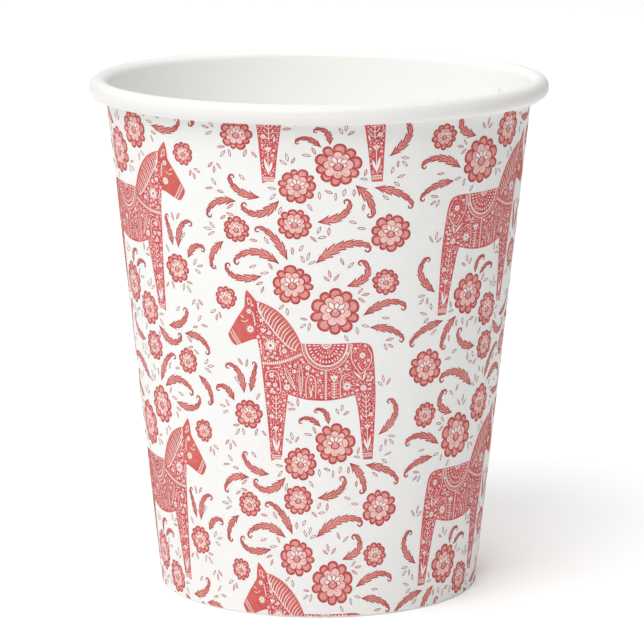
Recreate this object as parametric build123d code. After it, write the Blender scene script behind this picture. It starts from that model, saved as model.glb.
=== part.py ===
from build123d import *
from math import cos, radians, sin, sqrt, tan
import os

# A single-wall paper cup of the 8 oz size, made of the two coated board pieces of the real one:
#   sidewall   a fan-shaped blank wrapped into a cone and lapped at a glued side seam, with its
#              top edge curled outward into the rim roll and its bottom edge hemmed in and up
#   base_disc  a round blank with its edge drawn down into a skirt, which that hem grips
# Millimetres, +Z up. The origin is on the table, at the centre of the foot.
# Sections are drawn with the radius along X and the height along Z, then turned about Z.

# Driving dimensions
rim_diameter = 80.0       # over the rim roll
cup_height = 90.0
foot_diameter = 56.0      # outside of the wall, carried down to the table
wall_slope = 5.95         # degrees from vertical
board = 0.35              # coated paperboard
hem_height = 6.0          # table to the cut edge of the turned-up hem
foot_press = 0.06         # depth by which the hem's fold is pressed flat where it stands
skirt_bottom = 0.7        # table to the cut edge of the base's skirt
base_height = 7.5         # table to the drinking side of the base
base_bend = 0.9           # radius in which the base turns down into its skirt
roll_drop = 0.3           # the rim roll is this much taller than wide
curl_radius = 1.15        # the tighter last part of the curl, inside the roll
curl_sweep = 165.0        # degrees that this last part turns through

# The side seam: the blank's outer edge lies over its inner edge
seam_azimuth = 105.0      # degrees from the front (-Y) towards +X, to the outer cut edge
seam_lap = 12.5           # degrees of overlap
seam_ramp = 2.6           # degrees in which the outer layer comes down to the single wall
ramp_end = 0.02           # thickness to which that ramp thins out
lap_margin = 0.1          # the outer layer ends this far short of the hem's fold and the roll
slot_width = 0.15         # open line beside the inner cut edge, seen from inside the cup
slot_margin = 1.0         # that line ends this far short of the base and the roll

# The wall's direction, and its inner face carried down to the table
slope = tan(radians(wall_slope))
wall_up = Vector(sin(radians(wall_slope)), 0, cos(radians(wall_slope)))
wall_out = Vector(cos(radians(wall_slope)), 0, -sin(radians(wall_slope)))
rim_radius = rim_diameter / 2
inner_foot_radius = foot_diameter / 2 - board / wall_out.X
inner_foot = Vector(inner_foot_radius, 0, 0)

# The roll meets the wall's inner face in line, and reaches from there out to the rim.
roll_room = rim_radius - slope * cup_height - inner_foot_radius
roll_radius = roll_room / (sqrt(1 + slope**2) + 1 - slope)
roll_top_centre = Vector(rim_radius - roll_radius, 0, cup_height - roll_radius)
roll_low_centre = roll_top_centre - Vector(0, 0, roll_drop)
curl_centre = roll_low_centre - Vector(0, 0, roll_radius - curl_radius)
roll_bottom = roll_low_centre.Z - roll_radius

# The hem's fold is a half turn with room for the skirt. It would reach foot_press below the table.
fold_radius = board / 2
fold_run = (board + fold_radius * (1 + wall_out.Z) - foot_press) / wall_up.Z
fold_centre = inner_foot + wall_up * fold_run - wall_out * fold_radius

# The base's bend lies against the wall on one side and the drinking side on the other.
bend_run = (base_height - base_bend * (1 - wall_out.Z)) / wall_up.Z
bend_centre = inner_foot + wall_up * bend_run - wall_out * base_bend


def on_wall(height, depth):
    """The point at a height on the wall's inner face, moved squarely outward by depth."""
    return inner_foot + wall_up * (height / wall_up.Z) + wall_out * depth


def polar(centre, radius, degrees):
    """The point at an angle about centre, counted from outward (+X) towards up."""
    return centre + Vector(cos(radians(degrees)), 0, sin(radians(degrees))) * radius


def arc(centre, radius, start, end):
    """An arc about centre from one angle to another."""
    middle = polar(centre, radius, (start + end) / 2)
    return ThreePointArc(polar(centre, radius, start), middle, polar(centre, radius, end))


def strip(near_edges, far_edges):
    """The face between the two sides of a board, each given from its start to its end."""
    start = Line(near_edges[0] @ 0, far_edges[0] @ 0)
    end = Line(near_edges[-1] @ 1, far_edges[-1] @ 1)
    return make_face([*near_edges, *far_edges, start, end])


def sidewall_line(depth):
    """The blank's section at a depth below its drinking side: hem, fold, wall, roll and curl."""
    fold = arc(fold_centre, fold_radius + depth, 180 - wall_slope, 360 - wall_slope)
    roll_top = arc(roll_top_centre, roll_radius - depth, 180 - wall_slope, 0)
    roll_low = arc(roll_low_centre, roll_radius - depth, 0, -90)
    curl = arc(curl_centre, curl_radius - depth, -90, -90 - curl_sweep)
    hem = Line(on_wall(hem_height, -board - depth), fold @ 0)
    wall = Line(fold @ 1, roll_top @ 0)
    roll_side = Line(roll_top @ 1, roll_low @ 0)
    return [hem, fold, wall, roll_top, roll_side, roll_low, curl]


def base_line(depth):
    """The base's section at a depth below its drinking side: floor, bend and skirt."""
    bend = arc(bend_centre, base_bend - depth, 90, -wall_slope)
    floor = Line(Vector(0, 0, base_height - depth), bend @ 0)
    skirt = Line(bend @ 1, on_wall(skirt_bottom, -depth))
    return [floor, bend, skirt]


def lap_section(thickness):
    """The outer layer's section at the seam, from inside the wall's board to its own face."""
    low = fold_centre.Z + lap_margin
    high = roll_bottom - lap_margin
    corners = [(low, board / 2), (low, board + thickness), (high, board + thickness)]
    corners.append((high, board / 2))
    return make_face(Polyline(*[on_wall(*corner) for corner in corners], close=True))


def make_lap():
    """The outer layer of the seam: a strip of one board's thickness that ramps down at one side."""
    layer = revolve(lap_section(board), Axis.Z, revolution_arc=seam_lap)
    ramp_head = Rot(0, 0, seam_lap) * lap_section(board)
    ramp_foot = Rot(0, 0, seam_lap + seam_ramp) * lap_section(ramp_end)
    return layer + loft([ramp_head, ramp_foot], ruled=True)


def make_slot():
    """The open line beside the inner layer's cut edge, as deep as that layer."""
    low = base_height + slot_margin
    high = roll_bottom - slot_margin
    middle = Plane(origin=on_wall((low + high) / 2, 0), x_dir=wall_up, z_dir=wall_out)
    length = (high - low) / wall_up.Z
    return Rot(0, 0, seam_lap) * (middle * Box(length, slot_width, 2 * board))


def make_sidewall():
    """The wrapped blank, pressed flat at the foot, with its seam turned to where it belongs."""
    wall = revolve(strip(sidewall_line(0), sidewall_line(board)), Axis.Z)
    table = Pos(0, 0, -board / 2) * Cylinder(rim_radius, board)
    return Rot(0, 0, seam_azimuth - 90) * (wall - table + make_lap() - make_slot())


def make_base():
    """The drawn base."""
    return revolve(strip(base_line(0), base_line(board)), Axis.Z)


os.makedirs("parts", exist_ok=True)
export_step(make_sidewall(), "parts/sidewall.step")
export_step(make_base(), "parts/base_disc.step")
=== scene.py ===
import cmath
import math
import random

import bmesh
import bpy
import numpy as np
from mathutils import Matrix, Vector
from mathutils.geometry import delaunay_2d_cdt


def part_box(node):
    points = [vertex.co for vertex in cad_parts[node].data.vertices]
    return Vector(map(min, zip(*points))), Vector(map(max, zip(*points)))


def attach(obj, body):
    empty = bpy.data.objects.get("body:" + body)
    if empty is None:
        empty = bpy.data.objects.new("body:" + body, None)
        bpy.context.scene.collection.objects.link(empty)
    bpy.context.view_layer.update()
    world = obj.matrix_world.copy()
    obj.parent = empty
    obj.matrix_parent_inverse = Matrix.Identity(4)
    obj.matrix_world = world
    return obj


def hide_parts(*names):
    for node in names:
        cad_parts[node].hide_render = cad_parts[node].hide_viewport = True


# A paper cup with a rolled rim and an all-over folk print of horses, rosettes, leaves and seeds.
# Everything is drawn in millimetres and turned into metres when its mesh is made. Flat drawings and
# sections use complex numbers as points. In a section they are the radius and the height; in the
# print they are the distance round the wall and the height.

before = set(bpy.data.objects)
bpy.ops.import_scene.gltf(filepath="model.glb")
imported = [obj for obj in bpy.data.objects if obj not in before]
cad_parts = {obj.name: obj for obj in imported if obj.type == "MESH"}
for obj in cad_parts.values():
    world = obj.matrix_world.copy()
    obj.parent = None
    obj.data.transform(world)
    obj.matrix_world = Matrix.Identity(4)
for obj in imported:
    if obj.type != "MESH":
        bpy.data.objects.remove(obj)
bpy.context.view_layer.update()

METRE = 1000.0
FLAT_STEP = 1.2           # the print is cut at least this often, so that it follows the cone
CUT_TOLERANCE = 1e-5      # points of the print nearer than this are one point

# ---------------------------------------------------------------- the cup's sizes, as its CAD has them
_, side_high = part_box("sidewall")
RIM_RADIUS = round(side_high.x * METRE, 1)
CUP_HEIGHT = round(side_high.z * METRE, 1)
FOOT_RADIUS = 28.0        # outside of the wall, carried down to the table
WALL_SLOPE = 5.95         # degrees from vertical
BOARD = 0.35
HEM_HEIGHT = 6.0          # table to the cut edge of the hem
FOOT_PRESS = 0.06         # how far the hem's fold is pressed flat where it stands
SKIRT_BOTTOM = 0.7        # table to the cut edge of the base's skirt
BASE_HEIGHT = 7.5         # table to the drinking side of the base
BASE_BEND = 0.9           # radius in which the base turns down into its skirt
ROLL_DROP = 0.3           # the rim roll is this much taller than wide
CURL_RADIUS = 1.15        # the tighter last part of the curl, inside the roll
CURL_SWEEP = 165.0        # degrees that this last part turns through
SEAM_AZIMUTH = 105.0      # degrees from the front towards +X, to the outer cut edge
SEAM_LAP = 12.5           # degrees of overlap
SEAM_RAMP = 2.6           # degrees in which the outer layer comes down to the single wall
LAP_MARGIN = 0.1          # the outer layer ends this far short of the hem's fold and the roll
SLOT_WIDTH = 0.15         # open line beside the inner cut edge
SLOT_MARGIN = 1.0         # that line ends this far short of the base and the roll


def turn(degrees):
    """The unit step at an angle, counted from the first axis towards the second."""
    return cmath.rect(1, math.radians(degrees))


SLOPE = math.tan(math.radians(WALL_SLOPE))
WALL_UP = turn(90 - WALL_SLOPE)
WALL_OUT = turn(-WALL_SLOPE)
INNER_FOOT = FOOT_RADIUS - BOARD / WALL_OUT.real
ROLL_RADIUS = (RIM_RADIUS - SLOPE * CUP_HEIGHT - INNER_FOOT) / (math.hypot(1, SLOPE) + 1 - SLOPE)
ROLL_TOP = complex(RIM_RADIUS - ROLL_RADIUS, CUP_HEIGHT - ROLL_RADIUS)
ROLL_LOW = ROLL_TOP - 1j * ROLL_DROP
CURL_CENTRE = ROLL_LOW - 1j * (ROLL_RADIUS - CURL_RADIUS)
ROLL_BOTTOM = ROLL_LOW.imag - ROLL_RADIUS
FOLD_RADIUS = BOARD / 2
FOLD_RUN = (BOARD + FOLD_RADIUS * (1 + WALL_OUT.imag) - FOOT_PRESS) / WALL_UP.imag
FOLD_CENTRE = INNER_FOOT + WALL_UP * FOLD_RUN - WALL_OUT * FOLD_RADIUS
BEND_RUN = (BASE_HEIGHT - BASE_BEND * (1 - WALL_OUT.imag)) / WALL_UP.imag
BEND_CENTRE = INNER_FOOT + WALL_UP * BEND_RUN - WALL_OUT * BASE_BEND
LAP_LOW = FOLD_CENTRE.imag + LAP_MARGIN
LAP_HIGH = ROLL_BOTTOM - LAP_MARGIN

# ---------------------------------------------------------------- the print's layout
COLUMNS = 6
MIDDLE_HEIGHT = 45.0
MIDDLE_RADIUS = FOOT_RADIUS + SLOPE * MIDDLE_HEIGHT
DEGREE = math.radians(1) * MIDDLE_RADIUS     # length of one degree round the middle of the wall
ROW_HEIGHT = 48.3
FRONT_COLUMN = -3.05                          # azimuth of the column that faces the front
FRONT_HOOF = 28.2                             # height at which its horse stands
PRINT_LOW = 0.3
PRINT_HIGH = ROLL_BOTTOM + 0.2
SEAM_BARE = 0.35                              # unprinted margin beside the seam's cut edge, degrees
INK_LIFT = 0.016                              # how far the ink stands off the board
FINE = 0.14                                   # width of the finest reserved line
BOLD = 0.2                                    # width of the bands' lines


# ================================================================ meshes
def in_scene(name, data):
    """A new object in the scene."""
    thing = bpy.data.objects.new(name, data)
    bpy.context.scene.collection.objects.link(thing)
    return thing


def mesh_object(name, vertices, faces):
    """A named mesh object from millimetre points."""
    mesh = bpy.data.meshes.new(name)
    mesh.from_pydata([Vector(v) / METRE for v in vertices], [], faces)
    mesh.validate()
    return in_scene(name, mesh)


def smooth(piece, angle):
    """Shades a piece smooth, except over edges sharper than an angle."""
    piece.data.shade_smooth()
    piece.data.set_sharp_from_angle(angle=math.radians(angle))


def merge_close(piece, distance=1e-4):
    """Joins points that coincide and turns every face outward."""
    work = bmesh.new()
    work.from_mesh(piece.data)
    bmesh.ops.remove_doubles(work, verts=work.verts, dist=distance / METRE)
    bmesh.ops.dissolve_degenerate(work, edges=work.edges, dist=distance / METRE / 10)
    bmesh.ops.recalc_face_normals(work, faces=work.faces)
    work.to_mesh(piece.data)
    work.free()


def arc(centre, radius, start, end, steps):
    """Points along an arc between two angles."""
    return [centre + radius * turn(start + (end - start) * i / steps) for i in range(steps + 1)]


def on_wall(height, depth):
    """The point at a height on the wall's inner face, moved squarely outward by depth."""
    return INNER_FOOT + WALL_UP * (height / WALL_UP.imag) + WALL_OUT * depth


def revolve(rows, columns, place):
    """Faces between neighbouring rows and columns of a turned section, with its points."""
    vertices = [place(row, column) for column in columns for row in rows]
    count = len(rows)
    faces = []
    for i in range(len(columns)):
        here = i * count
        there = (i + 1) % len(columns) * count
        for j in range(count):
            k = (j + 1) % count
            faces.append((here + j, there + j, there + k, here + k))
    return vertices, faces


def board_shell(name, rows, columns, place):
    """A closed shell of board, turned from its section."""
    piece = mesh_object(name, *revolve(rows, columns, place))
    merge_close(piece)
    smooth(piece, 40)
    return piece


def round_axis(point, azimuth):
    """A section point turned to an azimuth, which counts from the front (-Y) towards +X."""
    a = math.radians(azimuth)
    return (point.real * math.sin(a), -point.real * math.cos(a), point.imag)


# ================================================================ sidewall
def sidewall_rows(depth):
    """The blank's section at a depth below its drinking side.

    Each row is a point, how much of the seam's lap lifts it, and how much of the slot sinks it.
    """
    slot_low, slot_high = BASE_HEIGHT + SLOT_MARGIN, ROLL_BOTTOM - SLOT_MARGIN
    rows = [(on_wall(HEM_HEIGHT, -BOARD - depth), 0, 0)]
    fold = arc(FOLD_CENTRE, FOLD_RADIUS + depth, 180 - WALL_SLOPE, 360 - WALL_SLOPE, 14)
    rows += [(complex(p.real, max(p.imag, 0)), 0, 0) for p in fold]
    if depth:
        rows += [(on_wall(LAP_LOW, depth), lift, 0) for lift in (0, 1)]
        rows += [(on_wall(LAP_LOW + (LAP_HIGH - LAP_LOW) * i / 6, depth), 1, 0) for i in range(1, 6)]
        rows += [(on_wall(LAP_HIGH, depth), lift, 0) for lift in (1, 0)]
    else:
        rows += [(on_wall(slot_low, depth), 0, sink) for sink in (0, 1)]
        rows += [(on_wall(slot_high, depth), 0, sink) for sink in (1, 0)]
    roll = arc(ROLL_TOP, ROLL_RADIUS - depth, 180 - WALL_SLOPE, 0, 22)
    roll += arc(ROLL_LOW, ROLL_RADIUS - depth, 0, -90, 12)
    roll += arc(CURL_CENTRE, CURL_RADIUS - depth, -90, -90 - CURL_SWEEP, 16)[1:]
    return rows + [(p, 0, 0) for p in roll]


def sidewall_columns():
    """Azimuths round the blank from its outer cut edge, with the lap's lift and the slot's depth."""
    half_slot = SLOT_WIDTH / 2 / DEGREE
    edge = SEAM_AZIMUTH + SEAM_LAP
    columns = [(SEAM_AZIMUTH + i * SEAM_LAP / 12, BOARD, 0) for i in range(12)]
    columns += [(edge - half_slot, BOARD, 0), (edge - half_slot, BOARD, BOARD)]
    columns += [(edge + half_slot, BOARD, BOARD), (edge + half_slot, BOARD, 0)]
    columns += [(edge + SEAM_RAMP * t, BOARD * (1 - t), 0) for t in (0.25, 0.5, 0.75, 1.0)]
    start = math.ceil(edge + SEAM_RAMP) + 1
    end = SEAM_AZIMUTH + 360
    return columns + [(float(a), 0, 0) for a in range(start, int(end) + 1)]


def seam_swell(azimuth):
    """How much the doubled board swells the roll at the seam, as a share of its greatest."""
    share = (azimuth - SEAM_AZIMUTH) / (SEAM_LAP + SEAM_RAMP)
    return math.sin(math.pi * share) ** 2 if 0 < share < 1 else 0


ROLL_SWELL = 0.14
ROLL_WOBBLE = 0.035


def place_on_sidewall(row, column):
    """The point of a row at a column, lifted by the lap, sunk by the slot, and waved along the roll."""
    point, lift, sink = row
    azimuth, lap, slot = column
    moved = point + WALL_OUT * (lift * lap + sink * slot)
    if point.imag > ROLL_BOTTOM - 1e-6:
        moved += ROLL_SWELL * seam_swell(azimuth)
        rise = min(1, (point.imag - ROLL_BOTTOM) / ROLL_RADIUS)
        waves = math.sin(math.radians(3 * azimuth + 40)) + math.sin(math.radians(7 * azimuth))
        moved -= 1j * ROLL_WOBBLE * rise * (1 + waves / 2)
    return round_axis(moved, azimuth)


def make_sidewall():
    """The sidewall, one closed shell of board."""
    rows = sidewall_rows(0) + sidewall_rows(BOARD)[::-1]
    return board_shell("cup_wall", rows, sidewall_columns(), place_on_sidewall)


def line_inside(piece):
    """Gives the drinking side, which the roll turns outward, its own coated material."""
    piece.data.materials.append(BOARD_INSIDE)
    for face in piece.data.polygons:
        middle = face.center * METRE
        within = math.hypot(middle.x, middle.y) < on_wall(middle.z, BOARD / 2).real
        face.material_index = int(within and middle.z > HEM_HEIGHT or middle.z > ROLL_BOTTOM)


# ================================================================ base
BASE_DISH = 0.12


def base_rows(depth):
    """The drawn base's section at a depth below its drinking side, from the axis outward."""
    bend = arc(BEND_CENTRE, BASE_BEND - depth, 90, -WALL_SLOPE, 8)
    edge = bend[0].real
    radii = [edge * i / 10 for i in range(10)]
    floor = [complex(r, BASE_HEIGHT - depth - BASE_DISH * (1 - (r / edge) ** 2)) for r in radii]
    return floor + bend + [on_wall(SKIRT_BOTTOM, -depth)]


def make_base():
    """The base disc, one closed shell of board."""
    rows = base_rows(0) + base_rows(BOARD)[::-1]
    return board_shell("cup_base", rows, range(0, 360, 2), round_axis)


# ================================================================ drawing kit for the print
def spline(points, steps=4):
    """A smooth line through the points."""
    p = [2 * points[0] - points[1], *points, 2 * points[-1] - points[-2]]
    line = []
    for a, b, c, d in zip(p, p[1:], p[2:], p[3:]):
        for i in range(steps):
            t = i / steps
            line.append((2 * b + (c - a) * t + (2 * a - 5 * b + 4 * c - d) * t**2
                         + (3 * b - a - 3 * c + d) * t**3) / 2)
    return line + [points[-1]]


def outline(*runs):
    """A closed outline of smooth runs, with a corner wherever one run ends and the next begins."""
    return [p for run in runs for p in spline(run)[:-1]]


def along(line, share):
    """The point and the direction at a share of a line's length."""
    lengths = [abs(b - a) for a, b in zip(line, line[1:])]
    target = min(share, 1) * sum(lengths)
    for a, b, length in zip(line, line[1:], lengths):
        if target <= length:
            break
        target -= length
    return a + (b - a) * min(target / length, 1), (b - a) / length


def stroke(line, widths):
    """The outline of a pen stroke along a line. widths is one number, or one for each point."""
    if not isinstance(widths, list):
        widths = [widths] * len(line)
    left, right = [], []
    for i, (point, width) in enumerate(zip(line, widths)):
        step = line[min(i + 1, len(line) - 1)] - line[max(i - 1, 0)]
        side = 1j * step / abs(step) * width / 2
        left.append(point + side)
        right.append(point - side)
    return left + right[::-1]


def lens(base, tip, width, steps=4):
    """A pointed oval from base to tip."""
    step = tip - base
    side = 1j * step / abs(step) * width / 2
    shares = [i / steps for i in range(steps + 1)]
    left = [base + step * t + side * math.sin(math.pi * t) for t in shares]
    right = [base + step * t - side * math.sin(math.pi * t) for t in shares[1:-1]]
    return left + right[::-1]


def disc(centre, radius, count=7):
    """A round spot, drawn with count corners."""
    return [centre + radius * turn(360 * i / count) for i in range(count)]


def inside(point, shape):
    """Whether a point is inside a closed outline."""
    odd = False
    for a, b in zip(shape, shape[1:] + shape[:1]):
        if (a.imag > point.imag) != (b.imag > point.imag):
            if point.real < a.real + (point.imag - a.imag) / (b.imag - a.imag) * (b.real - a.real):
                odd = not odd
    return odd


class Drawing:
    """Flat shapes, each over the ones before it, in a tone: ink or bare paper."""

    def __init__(self):
        self.shapes = []

    def add(self, tone, shape):
        """Puts a shape of a tone on top, turned anticlockwise."""
        area = sum((a.conjugate() * b).imag for a, b in zip(shape, shape[1:] + shape[:1]))
        self.shapes.append((tone, shape if area > 0 else shape[::-1]))

    def bare(self, shape):
        """Leaves a shape as bare paper."""
        self.add("paper", shape)

    def line(self, points, width=FINE):
        """Leaves a line of bare paper."""
        self.bare(stroke(points, width))

    def edges(self):
        """Where every shape's edges start, and their steps."""
        starts = np.array([p for _, shape in self.shapes for p in shape])
        ends = np.array([p for _, shape in self.shapes for p in shape[1:] + shape[:1]])
        return starts, ends - starts

    def cut(self):
        """Triangles that don't overlap, each in the tone of the shape that lies on top there."""
        points, edges, faces = [], [], []
        for _, shape in self.shapes:
            faces.append(list(range(len(points), len(points) + len(shape))))
            points += shape
        left, right = min(p.real for p in points), max(p.real for p in points)
        low, high = min(p.imag for p in points) - 1, max(p.imag for p in points) + 1
        for i in range(math.ceil(left / FLAT_STEP), math.floor(right / FLAT_STEP) + 1):
            edges.append((len(points), len(points) + 1))
            points += [complex(i * FLAT_STEP, low), complex(i * FLAT_STEP, high)]
        flat = [Vector((p.real, p.imag)) for p in points]
        spots, _, triangles, _, _, owners = delaunay_2d_cdt(flat, edges, faces, 0, CUT_TOLERANCE)
        spots = np.array([tuple(s) for s in spots])
        by_tone = {}
        for triangle, owner in zip(triangles, owners):
            if owner:
                by_tone.setdefault(self.shapes[max(owner)][0], []).append(triangle)
        by_tone.pop("paper", None)
        return spots, {tone: np.array(found) for tone, found in by_tone.items()}


# ================================================================ motifs reserved in the horse
def rosette(draw, at, radius, petals, turned=0):
    """A reserved flower: a ring of petals round an eye. A large one's petals are veined."""
    for i in range(petals):
        way = turn(turned + 360 * i / petals)
        width = radius * 3.5 / petals
        draw.bare(lens(at + way * radius * 0.2, at + way * radius, width, 5))
        if radius > 0.8:
            draw.add("coral", lens(at + way * radius * 0.5, at + way * radius * 0.85, width * 0.4, 3))
    draw.bare(disc(at, radius * 0.4, 8))
    draw.add("red", disc(at, radius * 0.22, 6))


def ring(draw, at, radius):
    """A reserved ring round a dot."""
    draw.bare(disc(at, radius, 9))
    draw.add("red", disc(at, radius - FINE, 8))
    draw.bare(disc(at, radius * 0.28, 5))


def wheat(draw, line, size, count):
    """A band like an ear of wheat: a line with paired grains along it."""
    draw.line(line)
    for i in range(count):
        at, way = along(line, (i + 0.3) / count)
        for side in (1, -1):
            draw.bare(lens(at, at + way * turn(side * 50) * size, size * 0.34, 3))


def sprig(draw, line, size, count):
    """A curved stem with alternate leaves and a bud at its end."""
    draw.line(line)
    for i in range(count):
        at, way = along(line, (i + 0.5) / (count + 0.5))
        side = 1 if i % 2 else -1
        draw.bare(lens(at, at + way * turn(side * 48) * size, size * 0.42, 4))
    at, way = along(line, 1)
    draw.bare(lens(at - way * size * 0.2, at + way * size, size * 0.5, 4))


def branch(draw, line, size, count):
    """A stem whose paired twigs curl outward and end in a berry."""
    draw.line(line)
    for i in range(count):
        at, way = along(line, (i + 0.5) / count)
        reach = size * (1 - 0.06 * i)
        for side in (1j, -1j):
            end = at + way * reach * (0.8 + side)
            twig = spline([at, at + way * reach * (0.15 + 0.62 * side), end], 3)
            draw.line(twig, FINE * 0.9)
            draw.bare(disc(end, 0.14, 6))
    at, _ = along(line, 1)
    draw.bare(disc(at, 0.15, 6))


def tulip(draw, at, size, facing):
    """A reserved tulip: a cup with three pointed petals and a vein."""
    way = turn(facing)
    for spread in (-38, 0, 38):
        draw.bare(lens(at, at + way * turn(spread) * size, size * 0.4, 5))
    draw.bare(disc(at + way * size * 0.15, size * 0.34, 8))
    draw.add("red", lens(at, at + way * size * 0.45, size * 0.2, 4))


def blade(draw, base, tip, width):
    """A long reserved leaf, drawn as an outline round a vein."""
    step = (tip - base) / abs(tip - base)
    draw.bare(lens(base, tip, width, 8))
    draw.add("red", lens(base + step * 0.3, tip - step * 0.35, width - 2 * FINE, 8))
    draw.line([base, base * 0.4 + tip * 0.6], FINE * 0.8)


# ================================================================ the horse
def horse_body():
    """The horse's outline, from the front hoof round by chest, head, mane, back and hind leg."""
    return outline(
        [-6.85 - 0.1j, -7.35 + 8j, -7.9 + 15j, -8.15 + 18.2j, -8.6 + 21.3j],
        [-8.6 + 21.3j, -9.6 + 21.1j, -11.1 + 20.45j, -12.45 + 19.9j],
        [-12.45 + 19.9j, -13.1 + 20.3j, -13.7 + 21.3j, -13.75 + 21.9j, -13.5 + 22.4j],
        [-13.5 + 22.4j, -12.2 + 24.5j, -10.95 + 26.3j, -10.6 + 26.9j],
        [-10.6 + 26.9j, -10.5 + 28.4j, -10.2 + 29.8j],
        [-10.2 + 29.8j, -9.4 + 29.0j, -8.55 + 27.9j],
        [-8.55 + 27.9j, -7.3 + 27.6j, -5.2 + 26.5j, -3.4 + 24.7j, -2.0 + 22.6j, -1.2 + 20.8j],
        [-1.2 + 20.8j, 3.0 + 20.75j, 8.7 + 20.85j],
        [8.7 + 20.85j, 10.1 + 20.5j, 10.85 + 19.3j, 11.2 + 17j, 11.5 + 13.5j, 11.65 + 9j, 11.5 + 0.2j],
        [11.5 + 0.2j, 9.75 + 0.2j],
        [9.75 + 0.2j, 9.1 + 5.5j, 8.5 + 9.5j, 7.95 + 11.7j],
        [7.95 + 11.7j, 5.2 + 11.05j, 2.3 + 10.8j, -0.8 + 11.05j, -3.5 + 11.85j],
        [-3.5 + 11.85j, -4.1 + 7.5j, -4.6 + 3.5j, -4.95 - 0.1j],
    )


def head_shape():
    """The horse's plain head, just inside its outline."""
    return outline(
        [-8.9 + 21.55j, -9.8 + 21.2j, -11.1 + 20.6j, -12.43 + 20.05j],
        [-12.43 + 20.05j, -13.1 + 20.5j, -13.6 + 21.5j, -13.38 + 22.37j],
        [-13.38 + 22.37j, -12.1 + 24.5j, -10.85 + 26.35j, -10.48 + 26.95j],
        [-10.48 + 26.95j, -10.4 + 28.3j, -10.15 + 29.55j],
        [-10.15 + 29.55j, -9.4 + 28.8j, -8.7 + 27.85j],
        [-8.7 + 27.85j, -8.8 + 26j, -8.7 + 24j, -8.9 + 21.55j],
    )


def mane_lines():
    """The mane's two long edges, from the ear down to the back."""
    inner = spline([-8.35 + 27.7j, -8.05 + 25.9j, -6.8 + 24.2j, -4.9 + 21.8j, -3.2 + 20.1j, -2.0 + 19.5j])
    outer = spline([-8.35 + 27.8j, -7.25 + 27.5j, -5.2 + 26.4j, -3.45 + 24.6j, -2.1 + 22.5j, -1.3 + 20.7j])
    return inner, outer


def horse_head(draw):
    """The head: an ear, a bridle of two lines, a shut eye, and small flowers along the cheek."""
    draw.add("coral", head_shape())
    draw.add("red", outline([-10.2 + 28.9j, -9.05 + 27.6j], [-9.05 + 27.6j, -10.15 + 26.9j, -10.2 + 28.9j]))
    draw.line(spline([-9.95 + 27.2j, -10.0 + 28.4j, -9.35 + 27.7j, -9.95 + 27.2j]))
    for start, end in ((-13.45 + 22.3j, -12.05 + 20.1j), (-13.1 + 22.75j, -11.6 + 20.3j)):
        draw.line([start, (start + end) / 2 - 0.06j, end])
    for i in range(6):
        draw.bare(disc(-13.2 + 22.35j + (1.35 - 2.1j) * (i + 0.3) / 6, 0.09, 5))
    draw.add("pale", lens(-11.5 + 25.3j, -10.7 + 24.8j, 0.28, 4))
    smile = spline([-11.3 + 24.4j, -10.9 + 24.2j, -10.4 + 24.3j, -10.05 + 24.6j])
    draw.line(smile, FINE * 0.9)
    rosette(draw, -9.75 + 22.95j, 0.72, 8)
    rosette(draw, -9.85 + 26.05j, 0.5, 6)
    tulip(draw, -9.35 + 27.0j, 0.45, 60)
    wheat(draw, spline([-9.25 + 25.9j, -9.0 + 24.8j, -8.85 + 23.6j]), 0.26, 6)


def horse_mane(draw, rng):
    """The mane: a panel edged by a line, combed with fine strokes in uneven groups."""
    inner, outer = mane_lines()
    draw.add("coral", inner + outer[::-1])
    draw.line(inner, BOLD)
    strands = 26
    for i in range(1, strands):
        if i % 3 == 2:
            continue
        share = (i + 0.35 * (i % 3) + rng.uniform(-0.12, 0.12)) / strands
        start, _ = along(inner, share)
        end, _ = along(outer, max(0.02, share * 1.08 - 0.09))
        if abs(end - start) < 0.5:
            continue
        bow = (end - start) * 0.09j
        line = spline([start, start * 0.55 + end * 0.45 + bow, start + (end - start) * 0.97])
        draw.line(line, [FINE * 1.15] * (len(line) - 3) + [0.13, 0.1, 0.05])


def horse_neck(draw):
    """The neck's flowers and the wheat band round the chest."""
    rosette(draw, -6.35 + 20.3j, 1.25, 7, 12)
    tulip(draw, -7.6 + 22.6j, 0.8, 80)
    rosette(draw, -7.75 + 24.6j, 0.42, 6)
    ring(draw, -7.7 + 26.0j, 0.24)
    rosette(draw, -6.5 + 22.5j, 0.42, 6)
    rosette(draw, -4.0 + 19.4j, 0.5, 6)
    ring(draw, -5.1 + 21.0j, 0.26)
    sprig(draw, spline([-8.0 + 18.6j, -8.0 + 19.8j, -8.1 + 21.2j]), 0.42, 4)
    sprig(draw, spline([-4.6 + 18.6j, -4.75 + 19.4j, -4.7 + 20.3j]), 0.32, 3)
    wheat(draw, spline([-7.95 + 17.1j, -5.6 + 17.25j, -3.3 + 17.9j, -1.1 + 18.95j]), 0.48, 20)


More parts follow.
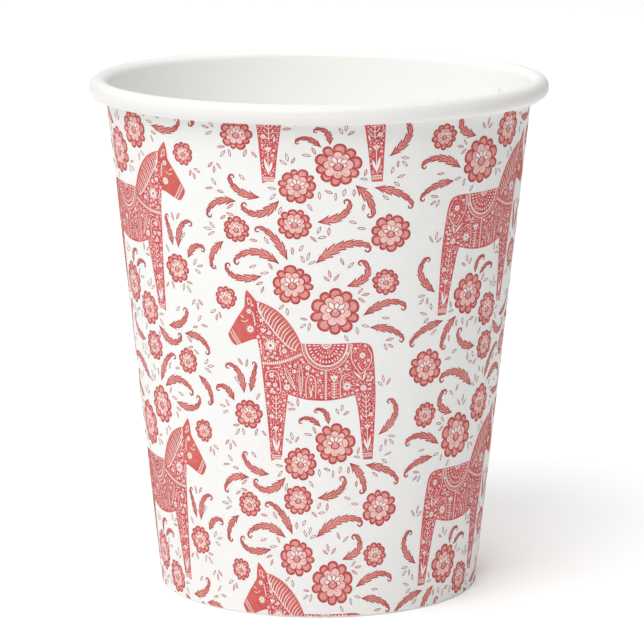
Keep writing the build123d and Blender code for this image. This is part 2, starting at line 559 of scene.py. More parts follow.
def horse_saddle(draw):
    """The saddle: half a wheel of rays inside a double border."""
    centre = 3.0 + 20.75j

    def bow(width, height, steps):
        return [centre - complex(width * math.cos(a), height * math.sin(a))
                for a in (math.pi * i / steps for i in range(steps + 1))]

    draw.line(bow(4.1, 4.55, 22))
    draw.line(bow(3.5, 3.9, 20), BOLD * 1.3)
    middle = bow(3.82, 4.24, 40)
    for i in range(30):
        at, way = along(middle, (i + 0.5) / 30)
        draw.bare(lens(at - way * 0.17, at + way * 0.17, 0.12, 3))
    for i in range(9):
        way = turn(-90 + 20 * (i - 4))
        draw.bare(lens(centre + way * 0.42, centre + way * 1.0, 0.22, 4))
    draw.bare([centre + 0.36 * turn(-180 + 22.5 * i) for i in range(9)])
    draw.add("red", [centre + 0.2 * turn(-180 + 36 * i) for i in range(6)])
    for radius, length, count in ((1.4, 0.42, 10), (2.05, 0.56, 13), (2.82, 0.6, 17)):
        for i in range(count):
            way = turn(-180 + (i + 0.5) * 180 / count)
            at = centre + complex(way.real * radius, way.imag * radius * 1.12)
            draw.bare(lens(at - way * length / 2, at + way * length / 2, length * 0.47, 4))


def horse_belly(draw):
    """The belly and shoulder: stems, arches, long leaves and flowers between them."""
    wheat(draw, [2.95 + 10.95j, 2.95 + 16.1j], 0.36, 13)
    tulip(draw, 4.35 + 14.4j, 1.1, 90)
    draw.line([4.35 + 11.1j, 4.35 + 14.3j])
    for i in range(6):
        middle = complex(4.35, 11.4 + 0.47 * i)
        barb = spline([middle - 0.5 + 0.16j, middle - 0.06j, middle + 0.5 + 0.16j], 2)
        draw.line(barb)
    rosette(draw, 6.55 + 13.3j, 0.95, 8, 10)
    crook = spline([5.45 + 11.3j, 5.4 + 13.6j, 5.7 + 15.0j, 6.5 + 15.4j, 7.2 + 15.0j])
    draw.line(crook)
    sprig(draw, spline([5.2 + 15.6j, 6.1 + 16.3j, 7.0 + 16.2j]), 0.42, 3)
    ring(draw, 1.9 + 12.6j, 0.28)
    ring(draw, 1.95 + 14.4j, 0.24)
    for side in (-1, 1):
        arch = [complex(0.4 + side * aside, up) for aside, up in ((0.78, 11.2), (0.85, 13.6), (0.6, 14.8))]
        draw.line(spline(arch + [0.4 + 15.3j]))
        stem = [complex(0.4 + side * aside, up) for aside, up in ((0, 11.4), (0.12, 12.4), (0.32, 13.3))]
        sprig(draw, spline(stem), 0.36, 3)
    ring(draw, 0.4 + 14.5j, 0.28)
    rosette(draw, -0.1 + 16.6j, 0.5, 6)
    blade(draw, -1.35 + 11.4j, -1.25 + 17.4j, 0.78)
    blade(draw, -2.2 + 12.6j, -4.2 + 16.7j, 0.72)
    rosette(draw, -3.7 + 13.1j, 0.66, 7)
    rosette(draw, -2.4 + 15.9j, 0.42, 5)
    ring(draw, -2.2 + 17.1j, 0.26)
    draw.line(spline([-4.75 + 12.2j, -4.9 + 14.2j, -5.3 + 15.6j, -6.3 + 15.9j]))
    draw.line(spline([-7.35 + 14.2j, -7.2 + 15.5j, -6.3 + 15.9j]))
    rosette(draw, -6.3 + 15.1j, 0.55, 6)
    tulip(draw, -6.9 + 13.2j, 0.75, 95)
    rosette(draw, -5.75 + 13.4j, 0.45, 6, 30)
    sprig(draw, spline([-5.9 + 16.5j, -5.0 + 16.5j]), 0.3, 2)


def horse_rump(draw):
    """The rump: a flower in a heart-shaped frame, with leaves and a flower under it."""
    front = spline([7.35 + 20.6j, 7.15 + 18.9j, 7.45 + 17.4j, 8.3 + 16.1j, 8.9 + 15.3j])
    back = spline([8.9 + 15.3j, 9.9 + 16.2j, 10.6 + 17.4j, 10.6 + 18.7j, 10.0 + 19.8j])
    draw.line(front)
    draw.line(back)
    rosette(draw, 9.1 + 18.6j, 0.62, 7)
    for i in range(12):
        draw.bare(disc(9.1 + 18.6j + 0.9 * turn(30 * i), 0.09, 5))
    tulip(draw, 7.85 + 19.6j, 0.55, 90)
    sprig(draw, spline([8.7 + 17.4j, 8.4 + 16.9j, 8.9 + 16.2j]), 0.34, 2)
    blade(draw, 9.2 + 14.3j, 7.5 + 16.0j, 0.42)
    blade(draw, 9.3 + 14.1j, 9.75 + 15.9j, 0.4)
    rosette(draw, 9.4 + 12.9j, 0.62, 7)
    for angle in (28, -12, 150, 200):
        way = turn(angle)
        draw.bare(lens(9.4 + 12.9j + way * 0.75, 9.4 + 12.9j + way * 1.6, 0.36, 5))
    rosette(draw, 6.5 + 19.0j, 0.3, 5)
    ring(draw, 6.6 + 17.6j, 0.22)


def horse_leg(draw, top, foot, hand):
    """A leg's branch, flowers and tulip over long leaves, with a banded hoof. hand mirrors it."""
    down = (foot - top) / abs(foot - top)
    side = 1j * down * hand

    def spot(fall, aside):
        return foot - down * fall + side * aside

    branch(draw, [spot(7.2, 0), spot(11.4, 0.1)], 0.7, 5)
    rosette(draw, spot(7.9, 0.85), 0.46, 6)
    draw.bare(lens(spot(6.9, -0.75), spot(8.1, -0.95), 0.3, 5))
    tulip(draw, spot(5.5, 0.1), 0.85, 90)
    draw.line([spot(5.5, 0.1), spot(1.5, 0)])
    draw.bare(lens(spot(1.7, 0.05), spot(4.3, 0.68), 0.44, 6))
    draw.bare(lens(spot(1.7, -0.05), spot(3.9, -0.6), 0.44, 6))
    ring(draw, spot(6.4, 0.95), 0.2)
    ring(draw, spot(5.6, -0.8), 0.22)
    draw.line([spot(1.0, 0.86), spot(1.0, -0.86)])
    draw.add("pink", [spot(0.9, 0.84), spot(0.9, -0.84), spot(0.3, -0.84), spot(0.3, 0.84)])
    for i in range(4):
        draw.bare(disc(spot(0.6, 0.4 * i - 0.6), 0.13, 6))


def bare_spots(draw, body, spacing, reach, rng):
    """Jittered places in the body that are at least reach from everything drawn on it."""
    plain = [head_shape(), mane_lines()[0] + mane_lines()[1][::-1]]
    starts, steps = draw.edges()
    spots = []
    for row in range(int(31 / spacing / 0.8)):
        for column in range(int(20.5 / spacing)):
            at = complex(-8.4 + spacing * (column + row % 2 / 2), 1.2 + spacing * 0.8 * row)
            at += spacing * complex(rng.uniform(-0.3, 0.3), rng.uniform(-0.25, 0.25))
            share = np.clip(((at - starts) * steps.conj()).real / abs(steps) ** 2, 0, 1)
            if abs(at - starts - steps * share).min() > reach and inside(at, body):
                if not any(inside(at, shape) for shape in plain):
                    spots.append(at)
    return spots


def horse_speckle(draw, body, rng):
    """Tiny flowers and then dots wherever the body is still bare."""
    for at in bare_spots(draw, body, 0.85, 0.4, rng):
        rosette(draw, at, rng.uniform(0.27, 0.34), 5, rng.uniform(0, 72))
    for at in bare_spots(draw, body, 0.42, 0.18, rng):
        draw.bare(disc(at, rng.uniform(0.08, 0.135), 5))


def draw_horse():
    """The whole horse: its red body with everything reserved in it."""
    draw = Drawing()
    rng = random.Random(11)
    body = horse_body()
    draw.add("red", body)
    horse_head(draw)
    horse_mane(draw, rng)
    horse_neck(draw)
    horse_saddle(draw)
    horse_belly(draw)
    horse_rump(draw)
    horse_leg(draw, -5.55 + 12j, -5.9 - 0.05j, -1)
    horse_leg(draw, 9.75 + 12j, 10.63 + 0.22j, 1)
    horse_speckle(draw, body, rng)
    return draw


# ================================================================ rosettes, leaves and seeds
OUTLINE = 0.15            # width of the dark outline round leaves and seeds


def petal_edges(count, uneven, rng):
    """Azimuths between the petals of a ring, in which every other petal is narrower."""
    widths = [1 + uneven * (1 if i % 2 else -1) + rng.uniform(-0.15, 0.15) for i in range(count)]
    start = rng.uniform(0, 360)
    return [start + 360 * sum(widths[:i]) / sum(widths) for i in range(count + 1)]


def petal(at, valley, tip, start, end, steps=8):
    """A round petal's rim from one azimuth to another, with its ends at the valley radius."""
    angles = [math.pi * i / steps for i in range(steps + 1)]
    return [at + (valley + (tip - valley) * math.sin(a)) * turn(start + (end - start) * (1 - math.cos(a)) / 2)
            for a in angles]


def petal_ring(at, valley, tips, edges):
    """A scalloped outline of petals with their own tip radii."""
    return [p for tip, start, end in zip(tips, edges, edges[1:])
            for p in petal(at, valley, tip, start, end)[:-1]]


def draw_flower(at, radius, seed):
    """A full rosette: thickly outlined petals round a pale inner ring, with a small cup at its heart."""
    draw = Drawing()
    rng = random.Random(seed)
    count = 10 if radius > 2.2 else 9
    line = 0.16 + 0.035 * radius
    edges = petal_edges(count, 0.16, rng)
    tips = [radius * (0.99 + rng.uniform(-0.05, 0.04)) for _ in range(count)]
    draw.add("dark", petal_ring(at, radius * 0.76, tips, edges))
    gap = math.degrees(line * 0.5 / radius)
    for tip, start, end in zip(tips, edges, edges[1:]):
        start, end = start + gap, end - gap
        rim = petal(at, radius * 0.75 - line * 0.5, tip - line, start, end)
        draw.add("coral", [at + radius * 0.5 * turn(start)] + rim + [at + radius * 0.5 * turn(end)])
        inset = (end - start) * 0.13
        start, end = start + inset, end - inset
        patch = petal(at, radius * 0.7, tip - line * 1.45, start, end, 5)
        draw.add("pink", [at + radius * 0.55 * turn(start)] + patch + [at + radius * 0.55 * turn(end)])
        for _ in range(int(1.3 * radius)):
            speck = at + (tip - line * 2) * rng.uniform(0.82, 1) * turn(rng.uniform(start + 3, end - 3))
            draw.add(rng.choice(("pale", "coral")), disc(speck, 0.07, 4))
    inner = petal_edges(8, 0.1, rng)
    reaches = [radius * (0.69 + rng.uniform(-0.04, 0.04)) for _ in range(8)]
    draw.add("dark", petal_ring(at, radius * 0.45, reaches, inner))
    draw.add("pale", petal_ring(at, radius * 0.45 - line * 0.75, [r - line * 0.9 for r in reaches], inner))
    for _ in range(int(24 * radius)):
        speck = at + radius * rng.uniform(0.26, 0.54) * turn(rng.uniform(0, 360))
        draw.add("coral", disc(speck, 0.075, 4))
    draw_heart(draw, at - 0.04j * radius, radius, turn(rng.uniform(-16, 16)))
    return draw


def draw_heart(draw, at, radius, tilt):
    """The rosette's heart: a round cup under a fan of bare petals."""
    for spread, size in ((-70, 0.34), (-28, 0.44), (12, 0.35), (48, 0.43), (84, 0.3)):
        way = tilt * turn(90 - spread)
        near = at + radius * 0.08 * way
        inner, far = near + way * radius * 0.06, near + way * radius * (size - 0.02)
        draw.add("coral", lens(near, near + way * radius * (size + 0.03), radius * 0.25, 5))
        draw.bare(lens(inner, far, radius * 0.17, 4))
    cup = [at + radius * 0.23 * tilt * turn(172 + 196 * i / 9) for i in range(10)]
    cup += [at + radius * 0.12 * tilt * complex(1, 0.8), at, at + radius * 0.12 * tilt * complex(-1, 0.8)]
    centre = at - 0.05j * tilt * radius
    draw.add("dark", cup)
    draw.add("pink", [centre + (p - centre) * 0.7 for p in cup])


def toothed(rib, half, teeth, shrink):
    """A leaf's outline along a rib, whose edges step out in teeth that point to its tip."""
    sides = []
    for side in (1j, -1j):
        edge = []
        for k in range(teeth):
            for place, part in ((k, 0.55), (k + 0.5, 0.84), (k + 1.24 - 1.3 * shrink, 1.12)):
                at, way = along(rib, max(place / teeth, shrink / 2))
                edge.append(at + way * side * max(half(place / teeth) * part - shrink, 0.02))
        sides.append(edge)
    return sides[0] + sides[1][::-1]


def draw_leaf(base, bend, tip, width, curl, seed):
    """A toothed leaf on a bent rib. Its tip curls to the left when curl is 1, to the right when -1."""
    draw = Drawing()
    rng = random.Random(seed)
    shares = [i / 20 for i in range(21)]
    rib = [base * (1 - t) ** 2 + bend * 2 * t * (1 - t) + tip * t**2 for t in shares]
    teeth = max(4, round(abs(tip - base) / 1.35))

    def half(share):
        return width * 0.66 * min(1, share / 0.3) ** 0.8 * (1 - 0.75 * max(0, share - 0.3))

    way = (rib[-1] - rib[-2]) / abs(rib[-1] - rib[-2])
    hook = [rib[-1] - way * 0.4, rib[-1]]
    for i in range(5):
        way *= turn(curl * (30 + 6 * i))
        hook.append(hook[-1] + way * (0.29 - 0.02 * i) * width)
    widths = [width * (0.42 - 0.05 * i) for i in range(len(hook))]
    draw.add("deep", stroke(hook, widths))
    draw.add("deep", disc(hook[-1], width * 0.11, 6))
    draw.add("deep", toothed(rib, half, teeth, 0))
    draw.add("coral", toothed(rib, half, teeth, OUTLINE))
    draw.add("pink", toothed(rib, half, teeth, OUTLINE * 1.7))
    draw.add("coral", stroke(hook[:5], [w - 0.22 for w in widths[:5]]))
    draw.add("deep", stroke(rib[2:], [0.08] * 19))
    for k in range(1, teeth):
        notch, ahead = along(rib, k / teeth)
        for side in (1j, -1j):
            start, _ = along(rib, (k - rng.uniform(0.4, 0.6)) / teeth)
            draw.add("coral", stroke([start, notch + ahead * side * half(k / teeth) * 0.6], 0.13))
    return draw


def draw_seeds(at, heading, count, seed):
    """Loose seed petals that fan out from one point: an outline round bare or tinted paper."""
    draw = Drawing()
    rng = random.Random(seed)
    spread = {1: [0], 2: [-30, 28], 3: [-44, 0, 42]}[count]
    root = at - turn(heading) * (1.0 if count > 1 else 0)
    for i, angle in enumerate(spread):
        way = turn(heading + angle + rng.uniform(-7, 7))
        length = rng.uniform(1.25, 1.6)
        middle = root + way * ((1.15 + 0.45 * (i % 2)) if count > 1 else 0)
        width = rng.uniform(0.42, 0.52)
        draw.add("deep", lens(middle - way * length / 2, middle + way * length / 2, width, 6))
        inner = length / 2 - 0.2
        tone = "pale" if rng.random() < 0.4 else "paper"
        draw.add(tone, lens(middle - way * inner, middle + way * inner, width - 0.2, 5))
    return draw


# One repeat of the print, from the middle of its column and the line that its horse stands on.
FLOWERS = [
    (-13.9 + 28.1j, 2.05), (-2.5 + 31.0j, 3.4), (4.45 + 26.4j, 4.15), (12.65 + 31.2j, 2.35),
    (-10.75 + 8.0j, 2.65), (-1.55 - 0.4j, 3.0), (4.65 + 3.1j, 3.65), (-2.0 - 6.9j, 2.75),
    (-11.45 - 8.2j, 2.3), (13.15 - 8.7j, 3.35),
]
LEAVES = [  # stem end, bend, tip, width, side of the curl
    (-4.5 + 34.5j, -8.6 + 38.2j, -11.9 + 34.9j, 1.3, 1),
    (-7.4 + 32.3j, -12.9 + 30.6j, -13.6 + 33.6j, 1.15, -1),
    (-3.2 + 35.2j, -5.2 + 40.2j, -7.7 + 40.7j, 1.2, 1),
    (1.3 + 34.7j, 5.8 + 39.4j, 9.6 + 37.6j, 1.5, -1),
    (6.2 + 30.7j, 11.4 + 32.0j, 8.9 + 34.9j, 1.3, 1),
    (9.0 + 25.5j, 13.6 + 29.0j, 16.2 + 26.9j, 1.25, -1),
    (10.2 + 23.4j, 14.4 + 23.4j, 16.2 + 21.2j, 1.15, -1),
    (-10.2 + 11.9j, -9.6 + 14.8j, -9.0 + 16.7j, 1.0, 1),
    (-11.4 + 11.6j, -11.6 + 16.4j, -14.2 + 16.5j, 1.15, 1),
    (-13.4 + 10.1j, -14.6 + 13.2j, -16.6 + 12.3j, 1.1, 1),
    (2.1 + 6.2j, -0.2 + 8.6j, -1.6 + 7.3j, 0.85, 1),
    (3.4 + 6.6j, 3.4 + 9.6j, 1.3 + 9.3j, 0.9, 1),
    (12.4 + 4.4j, 17.4 + 8.0j, 14.6 + 10.5j, 1.2, 1),
    (-7.3 - 2.5j, -11.6 - 2.3j, -12.2 + 0.6j, 1.2, -1),
    (-11.2 - 3.4j, -15.4 - 2.8j, -16.4 - 5.9j, 1.15, 1),
    (-4.3 - 2.9j, -7.6 - 7.1j, -10.2 - 4.4j, 1.3, -1),
    (1.5 - 6.5j, 6.6 - 6.1j, 6.5 - 3.2j, 1.3, 1),
    (7.3 - 0.3j, 10.2 - 2.8j, 10.2 - 5.4j, 1.3, -1),
    (10.2 - 0.8j, 15.2 - 1.6j, 16.6 - 4.0j, 1.2, -1),
    (-13.7 - 10.4j, -16.6 - 12.4j, -16.2 - 15.0j, 1.1, 1),
]
SEEDS = [  # place, heading, how many
    (-6.3 + 33.5j, 155, 2), (0.0 + 35.3j, 70, 3), (-7.5 + 30.7j, 225, 2), (-3.8 + 26.9j, 255, 2),
    (-15.8 + 25.1j, 250, 3), (3.7 + 32.3j, 100, 3), (6.2 + 34.5j, 80, 2), (8.75 + 29.1j, 10, 3),
    (-0.4 + 24.3j, 215, 3), (8.6 + 23.4j, 315, 2), (6.3 + 21.7j, 300, 1), (12.9 + 24.9j, 0, 1),
    (13.5 + 20.4j, 330, 3), (-11.1 + 16.8j, 100, 2), (-12.7 + 13.9j, 118, 1), (-8.85 + 11.2j, 60, 1),
    (-15.2 + 8.8j, 165, 3), (-8.75 + 5.0j, 285, 2), (-12.7 + 5.1j, 235, 3), (-14.6 + 2.4j, 265, 3),
    (-10.1 + 0.8j, 130, 1), (-15.1 - 0.8j, 155, 2), (-2.6 + 9.9j, 145, 3), (5.7 + 8.9j, 80, 3),
    (-2.8 + 3.9j, 100, 3), (0.7 + 5.2j, 140, 2), (8.8 + 1.8j, 80, 1), (14.5 + 3.4j, 310, 3),
    (13.0 + 2.0j, 250, 1), (13.9 + 0.2j, 350, 2), (2.4 - 1.6j, 310, 2), (-5.2 - 1.4j, 200, 2),
    (-13.8 - 1.9j, 170, 1), (4.3 - 2.2j, 262, 1), (7.1 - 1.6j, 262, 1), (12.1 - 2.6j, 320, 1),
    (-12.5 - 5.0j, 20, 2), (-13.6 - 6.3j, 210, 1), (0.4 - 4.0j, 300, 1),
    (7.0 - 6.6j, 160, 1), (13.0 + 13.7j, 105, 3), (-15.9 - 8.6j, 175, 3), (1.9 - 8.7j, 40, 2),
    (-1.0 - 11.0j, 60, 1), (8.4 - 7.7j, 172, 1), (-8.9 + 33.9j, 200, 1), (-2.4 + 36.8j, 95, 1),
    (-8.6 + 38.4j, 175, 1), (-6.5 + 38.5j, 125, 1), (8.6 + 0.7j, 345, 1), (8.6 - 4.1j, 85, 1),
    (-4.2 - 4.6j, 70, 1), (0.9 - 9.4j, 310, 1), (5.6 - 1.5j, 80, 1), (3.3 - 8.1j, 80, 1),
]


def draw_repeat():
    """Everything in one repeat, cut into triangles by tone."""
    drawings = [draw_horse()]
    drawings += [draw_flower(at, radius, 31 + i) for i, (at, radius) in enumerate(FLOWERS)]
    drawings += [draw_leaf(*leaf, 61 + i) for i, leaf in enumerate(LEAVES)]
    drawings += [draw_seeds(*group, 91 + i) for i, group in enumerate(SEEDS)]
    return [drawing.cut() for drawing in drawings]


def lap_lift(azimuth, height):
    """How far the ink rises from the single wall onto the seam's outer layer."""
    past = azimuth - SEAM_AZIMUTH
    low_end = (height - PRINT_LOW) / (LAP_LOW - PRINT_LOW)
    high_end = (PRINT_HIGH - height) / (PRINT_HIGH - LAP_HIGH)
    share = np.clip(1 - (past - SEAM_LAP) / SEAM_RAMP, 0, 1)
    return BOARD * share * np.clip(np.minimum(low_end, high_end), 0, 1)


def wrap(flat):
    """Flat points, which run round the wall and up it, on the cone, and the wall's normals there."""
    azimuth = flat[:, 0] / DEGREE
    a = np.radians(azimuth)
    lift = lap_lift(azimuth, flat[:, 1]) + INK_LIFT
    radius = FOOT_RADIUS + SLOPE * flat[:, 1] + lift / WALL_OUT.real
    spots = np.stack([radius * np.sin(a), -radius * np.cos(a), flat[:, 1]], 1)
    out, up = WALL_OUT.real, WALL_OUT.imag
    normals = np.stack([out * np.sin(a), -out * np.cos(a), np.full(len(a), up)], 1)
    return spots / METRE, normals


def repeat_print(cuts, tone):
    """The flat points and triangles of one tone over the whole wall, before it is trimmed."""
    points, triangles, used = [], [], 0
    for column in range(2, 2 + COLUMNS + 1):
        flip = -1 if column % 2 else 1
        middle = (FRONT_COLUMN + 360 / COLUMNS * column) * DEGREE
        for row in range(-1, 2):
            foot = FRONT_HOOF + ROW_HEIGHT * (row - 0.5 * (column % 2)) + (ROW_HEIGHT if column % 2 else 0)
            for spots, by_tone in cuts:
                if tone not in by_tone:
                    continue
                height = spots[:, 1] + foot
                if height.max() < PRINT_LOW or height.min() > PRINT_HIGH:
                    continue
                points.append(np.stack([middle + flip * spots[:, 0], height], 1))
                triangles.append(by_tone[tone][:, ::flip] + used)
                used += len(spots)
    return np.concatenate(points), np.concatenate(triangles)


def trim(work):
    """Cuts away what lies past the seam's edges, the foot and the roll, and cuts along the lap's bends."""
    lap_end = SEAM_AZIMUTH + SEAM_LAP
    across = [(SEAM_AZIMUTH + SEAM_BARE, -1, True), (SEAM_AZIMUTH + 360, 1, True)]
    across += [(lap_end, 1, False), (lap_end + SEAM_RAMP, 1, False)]
    upward = [(PRINT_LOW, -1, True), (PRINT_HIGH, 1, True), (LAP_LOW, 1, False), (LAP_HIGH, 1, False)]
    planes = [((azimuth * DEGREE, 0, 0), (way, 0, 0), clear) for azimuth, way, clear in across]
    planes += [((0, height, 0), (0, way, 0), clear) for height, way, clear in upward]
    for place, way, clear in planes:
        whole = work.verts[:] + work.edges[:] + work.faces[:]
        bmesh.ops.bisect_plane(work, geom=whole, plane_co=place, plane_no=way, clear_outer=clear)
    bmesh.ops.triangulate(work, faces=work.faces[:])


def make_print(cuts, tone):
    """One tone's ink over the wall, as one piece."""
    points, triangles = repeat_print(cuts, tone)
    mesh = bpy.data.meshes.new("print_" + tone)
    mesh.from_pydata(np.pad(points, ((0, 0), (0, 1))).tolist(), [], triangles.tolist())
    work = bmesh.new()
    work.from_mesh(mesh)
    loose = [v for v in work.verts if not v.link_faces]
    bmesh.ops.delete(work, geom=loose, context="VERTS")
    trim(work)
    work.to_mesh(mesh)
    work.free()
    flat = np.zeros(len(mesh.vertices) * 3)
    mesh.vertices.foreach_get("co", flat)
    spots, normals = wrap(flat.reshape(-1, 3))
    mesh.vertices.foreach_set("co", spots.ravel())
    mesh.shade_smooth()
    mesh.normals_split_custom_set_from_vertices(normals.tolist())
    mesh.update()
    return in_scene("print_" + tone, mesh)


# ================================================================ materials
WHITE = (1, 1, 1, 1)
ROLL_PAINTED_SHADE = (0.82, 0.82, 0.825, 1)            # painted shade: share of the board's colour that is kept on the roll
CLOUD, FLECK, FIBRE = 0.22, 2.6, 3.2          # board's lumps in a millimetre
POOL, GRAIN = 0.45, 3.4                       # ink's lumps in a millimetre
INK_RELIEF = 0.01


def linear(red, green, blue):
    """A screen colour of 0 to 255 as the linear colour that a shader takes."""
    def one(value):
        value /= 255
        return value / 12.92 if value <= 0.04045 else ((value + 0.055) / 1.055) ** 2.4
    return (one(red), one(green), one(blue), 1)


def new_material(name, roughness):
    """A material with its nodes and its shader."""
    material = bpy.data.materials.new(name)
    material.use_nodes = True
    shader = material.node_tree.nodes["Principled BSDF"]
    shader.inputs["Roughness"].default_value = roughness
    return material, material.node_tree, shader


def noise(tree, scale, detail=2.0, stretch=(1, 1, 1)):
    """Noise in the object's own space, where scale is how many lumps lie in a millimetre."""
    place = tree.nodes.new("ShaderNodeTexCoord")
    fit = tree.nodes.new("ShaderNodeMapping")
    fit.inputs["Scale"].default_value = stretch
    lumps = tree.nodes.new("ShaderNodeTexNoise")
    lumps.inputs["Scale"].default_value = scale * METRE
    lumps.inputs["Detail"].default_value = detail
    tree.links.new(place.outputs["Object"], fit.inputs["Vector"])
    tree.links.new(fit.outputs["Vector"], lumps.inputs["Vector"])
    return lumps.outputs["Fac"]


def ramp(tree, value, stops):
    """A colour ramp over a value, from (place, colour) stops."""
    node = tree.nodes.new("ShaderNodeValToRGB")
    for spare in range(len(stops) - 2):
        node.color_ramp.elements.new(0.5)
    for element, (place, colour) in zip(node.color_ramp.elements, stops):
        element.position = place
        element.color = colour
    tree.links.new(value, node.inputs["Fac"])
    return node.outputs["Color"]


def mixed(tree, blend, share, first, second):
    """Two colours mixed by a share of the second."""
    node = tree.nodes.new("ShaderNodeMix")
    node.data_type = "RGBA"
    node.blend_type = blend
    node.inputs["Factor"].default_value = share
    tree.links.new(first, node.inputs[6])
    tree.links.new(second, node.inputs[7])
    return node.outputs[2]


def bump(tree, shader, height, depth):
    """Relief of a depth in millimetres from a height between 0 and 1."""
    node = tree.nodes.new("ShaderNodeBump")
    node.inputs["Strength"].default_value = 1.0
    node.inputs["Distance"].default_value = depth / METRE
    tree.links.new(height, node.inputs["Height"])
    tree.links.new(node.outputs["Normal"], shader.inputs["Normal"])


def paint_roll_shade(tree, colour):
    """Painted shade: darkens a colour little by little from the wall's top to the roll's crown, and fully
    past the crown.
    """
    place = tree.nodes.new("ShaderNodeTexCoord")
    flat = tree.nodes.new("ShaderNodeVectorMath")
    flat.operation = "MULTIPLY"
    flat.inputs[1].default_value = (1, 1, 0)
    radius = tree.nodes.new("ShaderNodeVectorMath")
    radius.operation = "LENGTH"
    share = tree.nodes.new("ShaderNodeMapRange")
    share.interpolation_type = "SMOOTHSTEP"
    share.inputs["From Min"].default_value = (RIM_RADIUS - 2 * ROLL_RADIUS) / METRE
    share.inputs["From Max"].default_value = ROLL_TOP.real / METRE
    tree.links.new(place.outputs["Object"], flat.inputs[0])
    tree.links.new(flat.outputs["Vector"], radius.inputs[0])
    tree.links.new(radius.outputs["Value"], share.inputs["Value"])
    # painted shade over the roll
    tone = ramp(tree, share.outputs["Result"], [(0, WHITE), (1, ROLL_PAINTED_SHADE)])
    return mixed(tree, "MULTIPLY", 1, colour, tone)


def paper_material(name, light, dark, roughness, relief):
    """Coated board: near-white with faint cloudy formation and fine fibre relief."""
    material, tree, shader = new_material(name, roughness)
    cloud = ramp(tree, noise(tree, CLOUD, 3), [(0.3, dark), (0.7, light)])
    fleck = ramp(tree, noise(tree, FLECK, 2, (1, 1, 0.5)), [(0.25, dark), (0.6, light)])
    colour = mixed(tree, "MIX", 0.4, cloud, fleck)
    # the board's colour gets painted shade over the roll
    tree.links.new(paint_roll_shade(tree, colour), shader.inputs["Base Color"])
    bump(tree, shader, noise(tree, FIBRE, 3, (1, 1, 0.6)), relief)
    shader.inputs["Specular IOR Level"].default_value = 0.4
    return material


def ink_material(name, deep, middle, thin):
    """Matt ink on board: tone pooled and thinned like hand-cut print, in two sizes of mottle."""
    material, tree, shader = new_material(name, 0.62)
    pool = ramp(tree, noise(tree, POOL, 3), [(0.3, deep), (0.5, middle), (0.72, thin)])
    grain = ramp(tree, noise(tree, GRAIN, 2), [(0.3, deep), (0.52, middle), (0.75, thin)])
    tree.links.new(mixed(tree, "MIX", 0.45, pool, grain), shader.inputs["Base Color"])
    bump(tree, shader, noise(tree, FIBRE, 3, (1, 1, 0.6)), INK_RELIEF)
    shader.inputs["Specular IOR Level"].default_value = 0.12
    return material


BOARD_OUTSIDE = paper_material("board_outside", linear(238, 238, 236), linear(234, 234, 232), 0.55, 0.008)
BOARD_INSIDE = paper_material("board_inside", linear(253, 252, 250), linear(251, 250, 246), 0.4, 0.006)
INKS = {
    "deep": ink_material("ink_deep", linear(144, 44, 52), linear(158, 56, 62), linear(176, 72, 75)),
    "dark": ink_material("ink_dark", linear(162, 58, 66), linear(176, 70, 76), linear(192, 86, 90)),
    "red": ink_material("ink_red", linear(189, 69, 74), linear(206, 88, 89), linear(216, 111, 107)),
    "coral": ink_material("ink_coral", linear(190, 84, 78), linear(205, 100, 93), linear(218, 121, 113)),
    "pink": ink_material("ink_pink", linear(208, 136, 128), linear(218, 152, 144), linear(227, 168, 161)),
    "pale": ink_material("ink_pale", linear(229, 184, 179), linear(236, 197, 192), linear(242, 211, 207)),
}


# ================================================================ the pieces
def dress(piece, material, slot, *nodes):
    """Gives a piece its material, hides the CAD parts that it stands for, and fixes it to the cup. slot is
    not used.
    """
    piece.data.materials.append(material)
    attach(piece, "root")
    if nodes:
        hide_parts(*nodes)


wall = make_sidewall()
dress(wall, BOARD_OUTSIDE, "wall_board", "sidewall")
line_inside(wall)
dress(make_base(), BOARD_INSIDE, "base_board", "base_disc")
repeat = draw_repeat()
for tone, ink in INKS.items():
    dress(make_print(repeat, tone), ink, "print_ink")


# ================================================================ stage, light and camera
SKY_STRENGTH = 0.22
FLOOR_GLOW = 0.07         # keeps the floor white where the lights fall off
FLOOR_DROP = 0.02         # the floor lies this far under the foot, millimetres


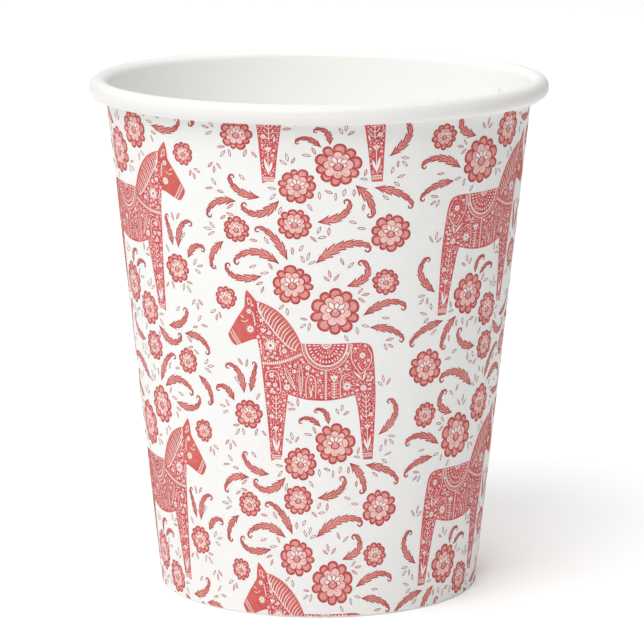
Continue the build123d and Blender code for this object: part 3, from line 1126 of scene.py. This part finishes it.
def make_floor():
    """A plain pale floor that turns up far behind the cup."""
    half, back, height, bend = 2500.0, 2600.0, 2600.0, 900.0
    turn_up = arc(complex(back, bend), bend, -90, 0, 16)
    section = [complex(-half, 0)] + turn_up + [complex(back + bend, height)]
    vertices = [(side * half, p.real, p.imag - FLOOR_DROP) for side in (-1, 1) for p in section]
    count = len(section)
    faces = [(i, count + i, count + i + 1, i + 1) for i in range(count - 1)]
    floor = mesh_object("floor", vertices, faces)
    smooth(floor, 60)
    material, tree, shader = new_material("floor_pale", 0.9)
    shader.inputs["Specular IOR Level"].default_value = 0.1
    shader.inputs["Emission Color"].default_value = WHITE
    shader.inputs["Emission Strength"].default_value = FLOOR_GLOW
    tone = ramp(tree, noise(tree, 0.002, 1), [(0.3, linear(250, 250, 249)), (0.7, linear(252, 252, 251))])
    tree.links.new(tone, shader.inputs["Base Color"])
    floor.data.materials.append(material)


CUP_MIDDLE = Vector((0, 0, 0.045))
LIGHT_WIDTH = 1.6
LIGHTS = [  # name, azimuth, elevation, distance, power, where it is aimed
    ("left_back", -110, 30, 2.0, 8, CUP_MIDDLE),
    ("front", -32, 49, 2.0, 25, CUP_MIDDLE),
    ("front_high", -5, 65, 2.0, 9, CUP_MIDDLE),
    ("right_high", 75, 82, 2.0, 6, CUP_MIDDLE),
    ("over_floor", 0, 89.9, 1.5, 9, Vector((0, 1.1, 0))),
]


def make_light(name, azimuth, elevation, distance, power, target):
    """A square soft light aimed at a target, at an azimuth from the front towards +X."""
    data = bpy.data.lights.new(name, "AREA")
    data.shape = "SQUARE"
    data.size = LIGHT_WIDTH
    data.energy = power
    light = in_scene(name, data)
    a, e = math.radians(azimuth), math.radians(elevation)
    way = Vector((math.sin(a) * math.cos(e), -math.cos(a) * math.cos(e), math.sin(e)))
    light.location = target + way * distance
    light.rotation_mode = "QUATERNION"
    light.rotation_quaternion = way.to_track_quat("Z", "Y")


CAMERA_LENS = 201.45
CAMERA_SHIFT = 0.005
CAMERA_PLACE = (0, -0.624, 0.1695)
CAMERA_TIP = 11.18        # degrees down from level


def make_camera():
    """The photograph's view: a long lens a little above the rim, tipped down at the cup."""
    data = bpy.data.cameras.new("camera")
    data.lens = CAMERA_LENS
    data.sensor_width = 36.0
    data.shift_x = CAMERA_SHIFT
    data.dof.use_dof = False
    data.clip_start, data.clip_end = 0.05, 20
    camera = in_scene("camera", data)
    camera.location = CAMERA_PLACE
    camera.rotation_euler = (math.radians(90 - CAMERA_TIP), 0, 0)
    bpy.context.scene.camera = camera


make_floor()
for light in LIGHTS:
    make_light(*light)
world = bpy.data.worlds.new("studio")
world.use_nodes = True
sky = world.node_tree.nodes["Background"]
sky.inputs["Color"].default_value = WHITE
sky.inputs["Strength"].default_value = SKY_STRENGTH
bpy.context.scene.world = world
bpy.context.scene.view_settings.view_transform = "Standard"
make_camera()
